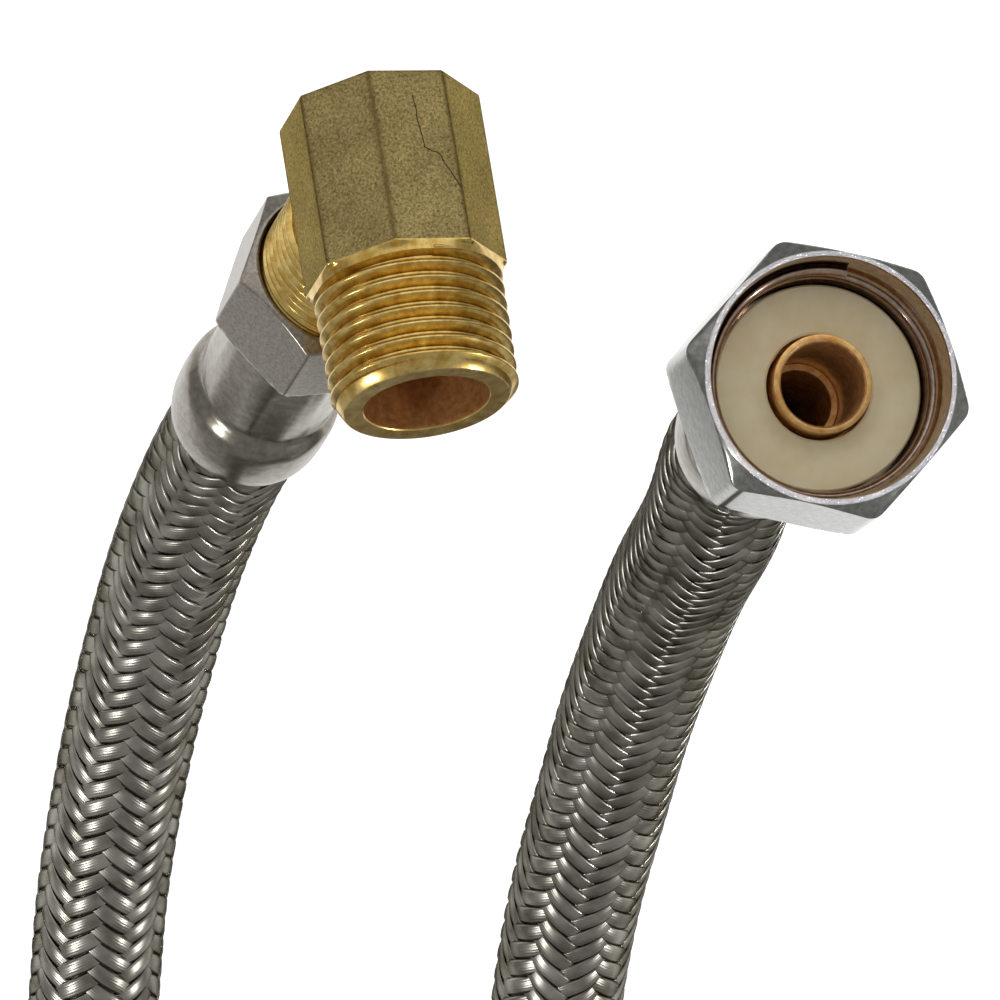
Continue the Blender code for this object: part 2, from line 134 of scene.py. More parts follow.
def new_material(name, colour, roughness, metallic):
    """A material and its tree and shader, with the values that are the same all over."""
    made = bpy.data.materials.new(name)
    made.use_nodes = True
    shader = made.node_tree.nodes["Principled BSDF"]
    shader.inputs["Base Color"].default_value = hex_colour(colour)
    shader.inputs["Roughness"].default_value = roughness
    shader.inputs["Metallic"].default_value = metallic
    return made, made.node_tree, shader


# %% Floor and light
def camera_way(right, up, back):
    """A direction given as the camera sees it, in the frame's axes."""
    return (right * CAMERA_RIGHT + up * CAMERA_UP + back * CAMERA_BACK).normalized()


def softbox(name, way, distance, size, power):
    light = bpy.data.lights.new(name, "AREA")
    light.shape = "SQUARE"
    light.size = size
    light.energy = power
    lamp = bpy.data.objects.new(name, light)
    bpy.context.scene.collection.objects.link(lamp)
    target = Vector((0.0, -0.06, 0.03))
    lamp.location = target + way * distance
    lamp.rotation_euler = way.to_track_quat("Z", "Y").to_euler()


bpy.ops.mesh.primitive_plane_add(size=6.0)
floor = bpy.context.object
floor.name = "acrylic_floor"
acrylic, tree, shader = new_material("painted_glow_white_acrylic", "#9a9a9a", 0.8, 0.0)
shader.inputs["Emission Color"].default_value = (1.0, 1.0, 1.0, 1.0)
where = add(tree, "ShaderNodeTexCoord")
apart = add(
    tree,
    "ShaderNodeVectorMath",
    {0: where.outputs["Object"], 1: (-0.0246, -0.0804, 0.0)},
    operation="DISTANCE",
)
# Painted glow: the floor's own emission is full in a disc round the line and fades outside it.
glow = add(
    tree,
    "ShaderNodeMapRange",
    {
        "Value": apart.outputs["Value"],
        "From Min": 0.075,
        "From Max": 0.13,
        "To Min": 0.98,
        "To Max": 0.1,
    },
    interpolation_type="SMOOTHSTEP",
)
tree.links.new(glow.outputs["Result"], shader.inputs["Emission Strength"])
floor.data.materials.append(acrylic)

world = bpy.data.worlds.new("dim_room")
world.use_nodes = True
tree = world.node_tree
sky = tree.nodes["Background"]
place = add(tree, "ShaderNodeTexCoord")
dot = add(
    tree,
    "ShaderNodeVectorMath",
    {0: place.outputs["Generated"], 1: camera_way(-0.05, 0.9, 0.3)},
    operation="DOT_PRODUCT",
)
ramp = add(
    tree,
    "ShaderNodeMapRange",
    {
        "Value": dot.outputs["Value"],
        "From Min": 0.4,
        "From Max": 0.95,
        "To Min": 0.38,
        "To Max": 1.15,
    },
)
tree.links.new(ramp.outputs["Result"], sky.inputs["Strength"])
sky.inputs["Color"].default_value = (1.0, 1.0, 1.0, 1.0)
bpy.context.scene.world = world
bpy.context.scene.view_settings.view_transform = "Standard"

softbox("left_box", camera_way(-0.69, -0.53, 0.48), 1.0, 0.05, 3.6)
softbox("right_box", camera_way(0.81, -0.49, 0.31), 1.0, 0.05, 3.6)

# %% [markdown]
# ## The hose's route
# The hose is 12.7 mm thick and stiff: it can't turn tighter than about four diameters, and its
# ends stand up by themselves. Each end leaves its ferrule straight, curls down to the floor and
# runs into a coil of nearly three turns, where the rest of the length is put away. They lie round
# a circle, a hose apart, which rolls a third of a turn each time round, so each slips into its
# neighbour's place. The uncoiled stretches go through listed points, joined by a cubic spline.

# %% Route of the hose
HOSE_OD = 0.0127
COIL_MIDDLE = (0.0246, 0.1427)
COIL_RADIUS = 0.0635
COIL_LIFT = 0.0013
BUNDLE_RADIUS = HOSE_OD / math.sqrt(3)
COIL_STARTS = math.radians(227.7)
COIL_TURNS = math.radians(2 * 360 + 283.7)
POINTS_PER_TURN = 24
NUT_BACK = 0.0262
FERRULE_GAP = 0.0003
FERRULE_LONG = 0.022
SWIVEL_LONG = 0.011
INSIDE_LIP = 0.004  # how far the hose runs on inside each ferrule's lip
ELBOW_STRETCH = (
    (0.0286, -0.0082, 0.0185),
    (0.0308, -0.0008, 0.0144),
    (0.0330, 0.0080, 0.0112),
    (0.0350, 0.0170, 0.0089),
    (0.0368, 0.0270, 0.0074),
    (0.0381, 0.0365, 0.0066),
    (0.0388, 0.0448, 0.0064),
    (0.0420, 0.0603, 0.0066),
    (0.0502, 0.0751, 0.0071),
)
SUPPLY_STRETCH = (
    (-0.0195, -0.0218, 0.0505),
    (-0.0166, -0.0098, 0.0366),
    (-0.0139, 0.0013, 0.0266),
    (-0.0115, 0.0116, 0.0194),
    (-0.0095, 0.0215, 0.0142),
    (-0.0075, 0.0310, 0.0103),
    (-0.0061, 0.0395, 0.0080),
    (-0.0051, 0.0500, 0.0067),
    (-0.0064, 0.0625, 0.0065),
    (-0.0121, 0.0772, 0.0071),
)


def coil_point(travel):
    """A point on the coil after turning clockwise by travel from where the supply end joins it."""
    angle = COIL_STARTS - travel
    roll = math.radians(-30) + travel / 3
    lowest = min(math.sin(roll + k * math.tau / 3) for k in range(3))
    radius = COIL_RADIUS + BUNDLE_RADIUS * math.cos(roll)
    height = COIL_LIFT + HOSE_OD / 2 + BUNDLE_RADIUS * (math.sin(roll) - lowest)
    x = COIL_MIDDLE[0] + radius * math.cos(angle)
    y = COIL_MIDDLE[1] + radius * math.sin(angle)
    return Vector((x, y, height))


def smooth_curve(points, spacing):
    """Points every spacing metres on the natural cubic spline through the given points."""
    knots = np.array(points, float)
    steps = np.linalg.norm(np.diff(knots, axis=0), axis=1)
    at = np.concatenate([[0.0], np.cumsum(steps)])
    size = len(knots)
    system = np.eye(size)
    right = np.zeros((size, 3))
    for i in range(1, size - 1):
        before, after = steps[i - 1], steps[i]
        system[i, i - 1 : i + 2] = before, 2 * (before + after), after
        rise = (knots[i + 1] - knots[i]) / after - (knots[i] - knots[i - 1]) / before
        right[i] = 6 * rise
    bend = np.linalg.solve(system, right)
    wanted = np.linspace(0.0, at[-1], round(at[-1] / spacing) + 1)
    piece = np.clip(np.searchsorted(at, wanted) - 1, 0, size - 2)
    span = steps[piece][:, None]
    a = (at[piece + 1] - wanted)[:, None] / span
    b = 1 - a
    curved = ((a**3 - a) * bend[piece] + (b**3 - b) * bend[piece + 1]) * span**2 / 6
    return a * knots[piece] + b * knots[piece + 1] + curved


elbow_away = -Vector(PORT_AXIS).normalized()
elbow_lip = Vector(ELBOW_AT) + (NUT_BACK + 2 * FERRULE_GAP + FERRULE_LONG) * elbow_away
supply_away = -Vector(JOINTS["swivel_nut_spin"]["axis"]).normalized()
supply_lip = SWIVEL.translation + (SWIVEL_LONG + 2 * FERRULE_GAP + FERRULE_LONG) * supply_away

route = [supply_lip - INSIDE_LIP * supply_away, supply_lip, supply_lip + 0.007 * supply_away]
route += [Vector(point) - WHOLE_MIDDLE for point in SUPPLY_STRETCH]
turns = round(COIL_TURNS / math.tau * POINTS_PER_TURN)
route += [coil_point(COIL_TURNS * i / turns) - WHOLE_MIDDLE for i in range(turns + 1)]
route += [Vector(point) - WHOLE_MIDDLE for point in reversed(ELBOW_STRETCH)]
route += [elbow_lip + 0.007 * elbow_away, elbow_lip, elbow_lip - INSIDE_LIP * elbow_away]
middle_line = smooth_curve(route, 0.0015)
along = np.concatenate([[0.0], np.cumsum(np.linalg.norm(np.diff(middle_line, axis=0), axis=1))])
HOSE_LENGTH = float(along[-1])
print(f"hose: {HOSE_LENGTH:.3f} m through {len(route)} points")

# %% [markdown]
# ## The rubber tube under the braid
# The tube that holds the water is black rubber. Only a little of it shows, between the wires. It
# is a curve with a round bevel, and the braid lies on it.


# %% Rubber tube
def black_rubber():
    """Moulded EPDM rubber: nearly black and dull, with a faint orange-peel skin."""
    made, tree, shader = new_material("black_epdm_rubber", "#1b1a19", 0.62, 0.0)
    where = add(tree, "ShaderNodeTexCoord")
    grain = add(
        tree, "ShaderNodeTexNoise", {"Vector": where.outputs["Object"], "Scale": 1800.0}
    )
    bump = add(
        tree,
        "ShaderNodeBump",
        {"Height": grain.outputs["Fac"], "Strength": 0.3, "Distance": 0.00005},
    )
    tree.links.new(bump.outputs["Normal"], shader.inputs["Normal"])
    return made


RUBBER = black_rubber()
TUBE_RADIUS = 0.00555


def path_curve(name, line):
    """A curve of one poly spline through the points of a line."""
    data = bpy.data.curves.new(name, "CURVE")
    data.dimensions = "3D"
    spline = data.splines.new("POLY")
    spline.points.add(len(line) - 1)
    for point, spot in zip(spline.points, line, strict=True):
        point.co = (*spot, 1.0)
    made = bpy.data.objects.new(name, data)
    bpy.context.scene.collection.objects.link(made)
    return made


tube = path_curve("hose_tube", middle_line[::2])
tube.data.bevel_depth = TUBE_RADIUS
tube.data.bevel_resolution = 4
tube.data.use_fill_caps = True
tube.data.materials.append(RUBBER)

# %% [markdown]
# ## The braid
# A braiding machine winds 24 flat bundles of stainless wire round the tube, twelve each way, and
# each bundle passes over two of the others and under the next two. Every bundle is a helix whose
# radius rises and falls, so the whole braid follows one rule, and Geometry Nodes draw it along
# the hose's middle line. At the neutral angle of a braid, near 55 degrees, it neither stretches
# nor swells.


# %% Braided wire finish
def stainless_wire():
    """Drawn stainless wire: grey and bright, with a furrow between each wire and the next."""
    made, tree, shader = new_material("drawn_stainless_wire", "#96938b", 0.32, 1.0)
    shader.inputs["Specular Tint"].default_value = hex_colour("#4a4a48")
    across = add(tree, "ShaderNodeAttribute", attribute_name="across")
    wires = add(
        tree, "ShaderNodeMath", {0: across.outputs["Fac"], 1: 3 * math.pi}, operation="MULTIPLY"
    )
    furrow = add(tree, "ShaderNodeMath", {0: wires.outputs[0]}, operation="COSINE")
    round_top = add(tree, "ShaderNodeMath", {0: furrow.outputs[0]}, operation="ABSOLUTE")
    bump = add(
        tree,
        "ShaderNodeBump",
        {"Height": round_top.outputs[0], "Strength": 0.25, "Distance": 0.00005},
    )
    where = add(tree, "ShaderNodeTexCoord")
    patches = add(
        tree,
        "ShaderNodeTexNoise",
        {"Vector": where.outputs["Object"], "Scale": 350.0, "Detail": 3.0},
    )
    tone = add(
        tree,
        "ShaderNodeValToRGB",
        {"Fac": patches.outputs["Fac"]},
    )
    tone.color_ramp.elements[0].position = 0.35
    tone.color_ramp.elements[0].color = hex_colour("#7b776e")
    tone.color_ramp.elements[1].position = 0.68
    tone.color_ramp.elements[1].color = hex_colour("#aaa79e")
    tree.links.new(tone.outputs["Color"], shader.inputs["Base Color"])
    tree.links.new(bump.outputs["Normal"], shader.inputs["Normal"])
    return made


WIRE = stainless_wire()


# %% Braid tree
def node_group(name, sockets):
    """A Geometry Nodes tree with a geometry input and output and the named inputs."""
    tree = bpy.data.node_groups.new(name, "GeometryNodeTree")
    tree.interface.new_socket("Geometry", in_out="INPUT", socket_type="NodeSocketGeometry")
    tree.interface.new_socket("Geometry", in_out="OUTPUT", socket_type="NodeSocketGeometry")
    for label, kind in sockets:
        tree.interface.new_socket(label, in_out="INPUT", socket_type="NodeSocket" + kind)
    return tree, tree.nodes.new("NodeGroupInput"), tree.nodes.new("NodeGroupOutput")


def braid_tree():
    """Bundles of wire wound one way round a middle line, rising and falling over the others."""
    tree, given, result = node_group(
        "wire_braid",
        [
            ("Bundles", "Int"),
            ("Lead", "Float"),
            ("Way", "Float"),
            ("Middle radius", "Float"),
            ("Wave", "Float"),
            ("Width", "Float"),
            ("Thickness", "Float"),
            ("Step", "Float"),
            ("From", "Float"),
            ("To", "Float"),
            ("Sides", "Int"),
            ("Material", "Material"),
        ],
    )
    given = given.outputs
    line = add(
        tree,
        "GeometryNodeResampleCurve",
        {"Curve": given["Geometry"], "Length": given["Step"]},
        mode="LENGTH",
    )
    keep = add(tree, "GeometryNodeCaptureAttribute", {"Geometry": line.outputs["Curve"]})
    for kind, label in (("FLOAT", "length"), ("VECTOR", "normal"), ("VECTOR", "tangent")):
        keep.capture_items.new(kind, label)
    spot = add(tree, "GeometryNodeSplineParameter")
    normal = add(tree, "GeometryNodeInputNormal")
    tangent = add(tree, "GeometryNodeInputTangent")
    tree.links.new(spot.outputs["Length"], keep.inputs["length"])
    tree.links.new(normal.outputs["Normal"], keep.inputs["normal"])
    tree.links.new(tangent.outputs["Tangent"], keep.inputs["tangent"])
    length = keep.outputs["length"]

    early = add(tree, "ShaderNodeMath", {0: length, 1: given["From"]}, operation="LESS_THAN")
    late = add(tree, "ShaderNodeMath", {0: length, 1: given["To"]}, operation="GREATER_THAN")
    outside = add(
        tree,
        "ShaderNodeMath",
        {0: early.outputs[0], 1: late.outputs[0]},
        operation="MAXIMUM",
    )
    stretch = add(
        tree,
        "GeometryNodeDeleteGeometry",
        {"Geometry": keep.outputs["Geometry"], "Selection": outside.outputs[0]},
        domain="POINT",
    )
    copies = add(
        tree,
        "GeometryNodeDuplicateElements",
        {"Geometry": stretch.outputs["Geometry"], "Amount": given["Bundles"]},
        domain="SPLINE",
    )
    index = copies.outputs["Duplicate Index"]

    turns = add(tree, "ShaderNodeMath", {0: length, 1: given["Lead"]}, operation="DIVIDE")
    wound = add(
        tree, "ShaderNodeMath", {0: turns.outputs[0], 1: given["Way"]}, operation="MULTIPLY"
    )
    share = add(tree, "ShaderNodeMath", {0: index, 1: given["Bundles"]}, operation="DIVIDE")
    around = add(
        tree, "ShaderNodeMath", {0: wound.outputs[0], 1: share.outputs[0]}, operation="ADD"
    )
    angle = add(
        tree, "ShaderNodeMath", {0: around.outputs[0], 1: math.tau}, operation="MULTIPLY"
    )
    crossings = add(
        tree, "ShaderNodeMath", {0: around.outputs[0], 1: given["Bundles"]}, operation="MULTIPLY"
    )
    phase = add(
        tree,
        "ShaderNodeMath",
        {0: crossings.outputs[0], 1: math.pi, 2: -math.pi / 4},
        operation="MULTIPLY_ADD",
    )
    swing = add(tree, "ShaderNodeMath", {0: phase.outputs[0]}, operation="COSINE")
    square = add(
        tree, "ShaderNodeMath", {0: swing.outputs[0], 1: swing.outputs[0]}, operation="MULTIPLY"
    )
    flat = add(
        tree,
        "ShaderNodeMath",
        {0: square.outputs[0], 1: -0.3, 2: 1.3},
        operation="MULTIPLY_ADD",
    )
    wave = add(
        tree, "ShaderNodeMath", {0: swing.outputs[0], 1: flat.outputs[0]}, operation="MULTIPLY"
    )
    facing = add(
        tree, "ShaderNodeMath", {0: wave.outputs[0], 1: given["Way"]}, operation="MULTIPLY"
    )
    radius = add(
        tree,
        "ShaderNodeMath",
        {0: facing.outputs[0], 1: given["Wave"], 2: given["Middle radius"]},
        operation="MULTIPLY_ADD",
    )

    cosine = add(tree, "ShaderNodeMath", {0: angle.outputs[0]}, operation="COSINE")
    sine = add(tree, "ShaderNodeMath", {0: angle.outputs[0]}, operation="SINE")
    side = add(
        tree,
        "ShaderNodeVectorMath",
        {0: keep.outputs["tangent"], 1: keep.outputs["normal"]},
        operation="CROSS_PRODUCT",
    )
    part_a = add(
        tree,
        "ShaderNodeVectorMath",
        {0: keep.outputs["normal"], "Scale": cosine.outputs[0]},
        operation="SCALE",
    )
    part_b = add(
        tree,
        "ShaderNodeVectorMath",
        {0: side.outputs[0], "Scale": sine.outputs[0]},
        operation="SCALE",
    )
    outwards = add(
        tree, "ShaderNodeVectorMath", {0: part_a.outputs[0], 1: part_b.outputs[0]}, operation="ADD"
    )
    shift = add(
        tree,
        "ShaderNodeVectorMath",
        {0: outwards.outputs[0], "Scale": radius.outputs[0]},
        operation="SCALE",
    )
    wound_line = add(
        tree,
        "GeometryNodeSetPosition",
        {"Geometry": copies.outputs["Geometry"], "Offset": shift.outputs[0]},
    )
    upright = add(
        tree,
        "GeometryNodeSetCurveNormal",
        {"Curve": wound_line.outputs["Geometry"], "Normal": outwards.outputs[0]},
        mode="FREE",
    )

    circle = add(
        tree,
        "GeometryNodeCurvePrimitiveCircle",
        {"Resolution": given["Sides"], "Radius": 1.0},
    )
    place = add(tree, "GeometryNodeInputPosition")
    parts = add(tree, "ShaderNodeSeparateXYZ", {0: place.outputs[0]})
    mark = add(tree, "GeometryNodeCaptureAttribute", {"Geometry": circle.outputs["Curve"]})
    mark.capture_items.new("FLOAT", "across")
    tree.links.new(parts.outputs["Y"], mark.inputs["across"])
    half_wide = add(tree, "ShaderNodeMath", {0: given["Width"], 1: 0.5}, operation="MULTIPLY")
    half_thick = add(tree, "ShaderNodeMath", {0: given["Thickness"], 1: 0.5}, operation="MULTIPLY")
    scale = add(
        tree,
        "ShaderNodeCombineXYZ",
        {"X": half_thick.outputs[0], "Y": half_wide.outputs[0], "Z": 1.0},
    )
    section = add(
        tree,
        "GeometryNodeTransform",
        {"Geometry": mark.outputs["Geometry"], "Scale": scale.outputs[0]},
    )
    bundle = add(
        tree,
        "GeometryNodeCurveToMesh",
        {
            "Curve": upright.outputs["Curve"],
            "Profile Curve": section.outputs["Geometry"],
            "Fill Caps": True,
        },
    )
    named = add(
        tree,
        "GeometryNodeStoreNamedAttribute",
        {"Geometry": bundle.outputs["Mesh"], "Name": "across", "Value": mark.outputs["across"]},
        data_type="FLOAT",
        domain="POINT",
    )
    whole = add(tree, "GeometryNodeRealizeInstances", {"Geometry": named.outputs["Geometry"]})
    finished = add(
        tree,
        "GeometryNodeSetMaterial",
        {"Geometry": whole.outputs["Geometry"], "Material": given["Material"]},
    )
    tree.links.new(finished.outputs["Geometry"], result.inputs["Geometry"])
    return tree


BRAID_TREE = braid_tree()


# %% Braid pieces
def from_nodes(name, host, tree, values):
    """A plain mesh object made by evaluating a tree on a host object with the given inputs."""
    modifier = host.modifiers.new("nodes", "NODES")
    modifier.node_group = tree
    for item in tree.interface.items_tree:
        if item.in_out == "INPUT" and item.name in values:
            modifier[item.identifier] = values[item.name]
    graph = bpy.context.evaluated_depsgraph_get()
    mesh = bpy.data.meshes.new_from_object(host.evaluated_get(graph), depsgraph=graph)
    host.modifiers.remove(modifier)
    mesh.name = name
    mesh.shade_smooth()
    made = bpy.data.objects.new(name, mesh)
    bpy.context.scene.collection.objects.link(made)
    return made


BUNDLES = 12
BRAID_LEAD = 0.0264
middle_of_hose = path_curve("hose_middle_line", middle_line)
apart = np.hypot(
    middle_line[:, 0] + WHOLE_MIDDLE.x - COIL_MIDDLE[0],
    middle_line[:, 1] + WHOLE_MIDDLE.y - COIL_MIDDLE[1],
)
in_coil = np.nonzero(apart < COIL_RADIUS + BUNDLE_RADIUS)[0]
coil_from = float(along[in_coil[0]])
coil_to = float(along[in_coil[-1]])
coil_half = (coil_from + coil_to) / 2
STRETCHES = (
    ("supply", 0.0, coil_from, 0.00037, 8),
    ("coil_a", coil_from, coil_half, 0.00055, 6),
    ("coil_b", coil_half, coil_to, 0.00055, 6),
    ("elbow", coil_to, HOSE_LENGTH, 0.00037, 8),
)
braid_pieces = []
for label, start, end, step, sides in STRETCHES:
    for way, side in ((1.0, "right"), (-1.0, "left")):
        piece = from_nodes(
            f"braid_{label}_{side}",
            middle_of_hose,
            BRAID_TREE,
            {
                "Bundles": BUNDLES,
                "Lead": BRAID_LEAD,
                "Way": way,
                "Middle radius": 0.00597,
                "Wave": 0.00019,
                "Width": 0.0017,
                "Thickness": 0.00034,
                "Step": step,
                "From": start,
                "To": end,
                "Sides": sides,
                "Material": WIRE,
            },
        )
        braid_pieces.append(piece)
        print(piece.name, len(piece.data.polygons), "faces")
bpy.data.objects.remove(middle_of_hose)

# %% [markdown]
# ## Turned and milled shapes
# Nuts, ferrules and turned pieces are all rings about an axis, some of them cut to flats outside.
# One helper sweeps a section round the axis. The section goes down the outer side first, so that
# faces point outwards, and its corners are eased, because a machined edge always catches the
# light. A row may be held inside a polygon, which gives a nut its flats, and the turned chamfer
# then cuts the corners as it does on the lathe.


# %% Section helpers
def eased(section, amount):
    """The section with every corner replaced by a short curve of four points."""
    points = [np.array(point, float) for point in section]
    soft = []
    for i, corner in enumerate(points):
        before, after = points[i - 1], points[(i + 1) % len(points)]
        first = before - corner
        second = after - corner
        reach_a = min(amount, 0.45 * np.linalg.norm(first))
        reach_b = min(amount, 0.45 * np.linalg.norm(second))
        start = corner + first / np.linalg.norm(first) * reach_a
        end = corner + second / np.linalg.norm(second) * reach_b
        for t in (0.0, 1 / 3, 2 / 3, 1.0):
            soft.append(tuple((1 - t) ** 2 * start + 2 * t * (1 - t) * corner + t**2 * end))
    return soft


def polygon_radius(theta, flats, across, rounding, turned_by=0.0):
    """How far a rounded polygon reaches at each angle, with a corner at turned_by degrees."""
    half = math.pi / flats
    inner = across / 2
    beside = np.abs((theta - math.radians(turned_by)) % (2 * half) - half)
    centre = (inner - rounding) / math.cos(half)
    from_corner = half - beside
    curved = centre * np.cos(from_corner) + np.sqrt(
        np.maximum(rounding**2 - (centre * np.sin(from_corner)) ** 2, 0.0)
    )
    straight = inner / np.cos(beside)
    flat_half = (inner - rounding) * math.tan(half)
    return np.where(straight * np.sin(beside) <= flat_half, straight, curved)


def angles_for(flats, turned_by=0.0):
    """Angles round the axis, closer together at the corners of a polygon."""
    beside = (0.0, 0.5, 1.1, 1.8, 2.8, 4.5, 7.0, 10.0, 14.0, 18.0, 22.5, 26.0, 30.0)
    beside = [step for step in beside if step <= 180 / flats]
    around = {round(360 / flats * k + sign * step, 3) % 360 for k in range(flats)
              for step in beside for sign in (1, -1)}
    return np.radians(np.array(sorted(around)) + turned_by)


def swept(name, rows, angles, place, materials, closed=True, sharp=32):
    """A mesh swept round Z. A row is (radius, height, reach, finish): reach is None or an array."""
    count = len(angles)
    points, spans, faces, finishes = [], [], [], []
    for radius, height, reach, finish in rows:
        if radius == 0:
            spans.append((len(points), 1, finish))
            points.append((0.0, 0.0, height))
            continue
        out = np.full(count, float(radius))
        if reach is not None:
            ease = 0.03
            out = -ease * np.log(np.exp(-out / ease) + np.exp(-reach / ease))
        spans.append((len(points), count, finish))
        ring = zip(out * np.cos(angles), out * np.sin(angles), strict=True)
        points.extend((x, y, height) for x, y in ring)
    pairs = list(zip(spans, spans[1:] + spans[:1], strict=True))
    for (a, size_a, finish), (b, size_b, _) in pairs if closed else pairs[:-1]:
        if size_a == size_b == 1:
            continue
        for j in range(count):
            k = (j + 1) % count
            if size_a == 1:
                faces.append((a, b + j, b + k))
            elif size_b == 1:
                faces.append((a + j, b, a + k))
            else:
                faces.append((a + j, b + j, b + k, a + k))
            finishes.append(finish)
    mesh = bpy.data.meshes.new(name)
    mesh.from_pydata([Vector(p) * MM for p in points], [], faces)
    mesh.transform(place)
    for finish in materials:
        mesh.materials.append(finish)
    mesh.polygons.foreach_set("material_index", finishes)
    mesh.shade_smooth()
    mesh.set_sharp_from_angle(angle=math.radians(sharp))
    made = bpy.data.objects.new(name, mesh)
    bpy.context.scene.collection.objects.link(made)
    print(f"{name}: {len(mesh.polygons)} faces")
    return made


def rows_of(section, reach=None, finish=0):
    return [(radius, height, reach, finish) for radius, height in section]


# %% [markdown]
# ## Brass
# The elbow's block is cut from drawn octagonal bar, and its faces keep the bar's dull, sandy
# skin: olive gold with bright and dark specks. The threads are cut afterwards and stay bright.
# The bore is the same brass, but it mostly mirrors itself and looks like copper, and that look is painted into a
# darker, redder copy of the brass.


# %% Brass finishes
def speckled(tree, scale, low, high, spread=(0.35, 0.65), detail=4.0):
    """A colour that wanders between two hex colours, on Object coordinates."""
    where = add(tree, "ShaderNodeTexCoord")
    noise = add(
        tree,
        "ShaderNodeTexNoise",
        {"Vector": where.outputs["Object"], "Scale": scale, "Detail": detail, "Roughness": 0.65},
    )
    tone = add(tree, "ShaderNodeValToRGB", {"Fac": noise.outputs["Fac"]})
    for element, position, colour in zip(
        tone.color_ramp.elements, spread, (low, high), strict=True
    ):
        element.position = position
        element.color = hex_colour(colour)
    return tone.outputs["Color"], noise.outputs["Fac"], where.outputs["Object"]


def drawn_brass():
    """Drawn leaded brass bar, as drawn: dull and sandy, with specks about 0.2 mm across."""
    made, tree, shader = new_material("drawn_brass_bar", "#a08b57", 0.38, 1.0)
    shader.inputs["Specular Tint"].default_value = hex_colour("#b8b2a0")
    colour, specks, where = speckled(tree, 4200.0, "#76663a", "#d4bd80", (0.30, 0.72))
    clouds = add(tree, "ShaderNodeTexNoise", {"Vector": where, "Scale": 260.0, "Detail": 2.0})
    shade = add(
        tree,
        "ShaderNodeMapRange",
        {
            "Value": clouds.outputs["Fac"],
            "From Min": 0.3,
            "From Max": 0.7,
            "To Min": 0.82,
            "To Max": 1.08,
        },
    )
    tinted = add(
        tree,
        "ShaderNodeVectorMath",
        {0: colour, "Scale": shade.outputs["Result"]},
        operation="SCALE",
    )
    # The base colour is painted darker, towards brown, along each corner of the octagon.
    corner = add(tree, "ShaderNodeAttribute", attribute_name="corner")
    darker_at_corners = add(
        tree,
        "ShaderNodeMix",
        {"Factor": corner.outputs["Fac"], 6: tinted.outputs[0], 7: hex_colour("#5a4726")},
        data_type="RGBA",
    )
    tree.links.new(darker_at_corners.outputs[2], shader.inputs["Base Color"])
    bump = add(
        tree, "ShaderNodeBump", {"Height": specks, "Strength": 0.8, "Distance": 0.00012}
    )
    tree.links.new(bump.outputs["Normal"], shader.inputs["Normal"])
    return made


def grained_metal(name, tones, roughness, metallic, scale, strength, height):
    """A metal whose colour wanders between two tones in specks that stand up a little."""
    made, tree, shader = new_material(name, tones[0], roughness, metallic)
    colour, specks, _ = speckled(tree, scale, *tones)
    tree.links.new(colour, shader.inputs["Base Color"])
    bump = add(
        tree, "ShaderNodeBump", {"Height": specks, "Strength": strength, "Distance": height}
    )
    tree.links.new(bump.outputs["Normal"], shader.inputs["Normal"])
    return made


def turned_brass(name, *tones):
    """Freshly cut brass: bright, with the tool's fine marks."""
    return grained_metal(name, tones, 0.24, 1.0, 900.0, 0.25, 0.00004)


def bore_reflection_brass(name, *tones):
    """The inside of a bore: brass that mirrors itself again and again looks like copper, and that look is painted
    into its tones.
    """
    return grained_metal(name, tones, 0.36, 0.75, 1500.0, 0.3, 0.00006)


DRAWN_BRASS = drawn_brass()
TURNED_BRASS = turned_brass("turned_yellow_brass", "#c09a4a", "#e6ca80")
RED_BRASS = turned_brass("turned_red_brass", "#cc9350", "#f0c584")
# Painted reflection: the bores get copies of the brass whose tones stand for light mirrored again and again.
BORE_REFLECTION_BRASS = bore_reflection_brass("bore_reflection_yellow_brass", "#a87a46", "#cf9d66")
BORE_REFLECTION_RED_BRASS = bore_reflection_brass("bore_reflection_red_brass", "#d0a268", "#f2cd98")

# %% [markdown]
# ## The elbow
# The block, the pipe thread's root and the bore are one swept shape. Its octagon ends in a
# shoulder where the tool that turned the thread's blank cut into the corners and left a bright
# crescent on each. The port is a second, smaller one, because its axis crosses the first.

# %% Elbow block and port
EIGHT = angles_for(8, 22.5)
octagon = polygon_radius(EIGHT, 8, 16.4, 0.25, 22.5)
PIPE_TOP_R, PIPE_END_R = 8.35, 8.2
THREAD_DEPTH = 0.85
bore = rows_of(
    [(0, -4.4), (2.6, -3.9), (5.05, -3.4), (5.4, -3.0), (5.45, 6.0), (5.45, 20.75)], None, 2
)
rim = rows_of([(5.5, 20.95), (5.6, 21.04), (7.2, 21.09), (7.3, 21.02), (7.75, 20.2)], None, 1)
root = rows_of([(PIPE_END_R - THREAD_DEPTH, 20.0), (PIPE_TOP_R - THREAD_DEPTH, 10.5)], None, 1)
shoulder = [
    (7.9, 10.3), (8.3, 10.15), (8.34, 9.9), (8.38, 9.65), (8.5, 9.45), (8.8, 9.33), (9.3, 9.27),
]
shoulder = [(radius, height, octagon, 1) for radius, height in shoulder]
block = [(9.4, height, octagon, 0) for height in (9.2, 4.0, 0.0, -4.0, -6.6)]
end_cap = [(radius, height, octagon * scale, 0) for radius, height, scale in
           ((9.4, -6.85, 0.996), (9.4, -6.97, 0.985), (9.4, -7.0, 0.96))]
end_cap += rows_of([(7.0, -7.0), (4.0, -7.0), (0, -7.0)])
elbow_block = swept(
    "elbow_block",
    bore + rim + root + shoulder + block + end_cap,
    EIGHT,
    ARM,
    (DRAWN_BRASS, TURNED_BRASS, BORE_REFLECTION_BRASS),
    closed=False,
)
arm_inverse = ARM.inverted()
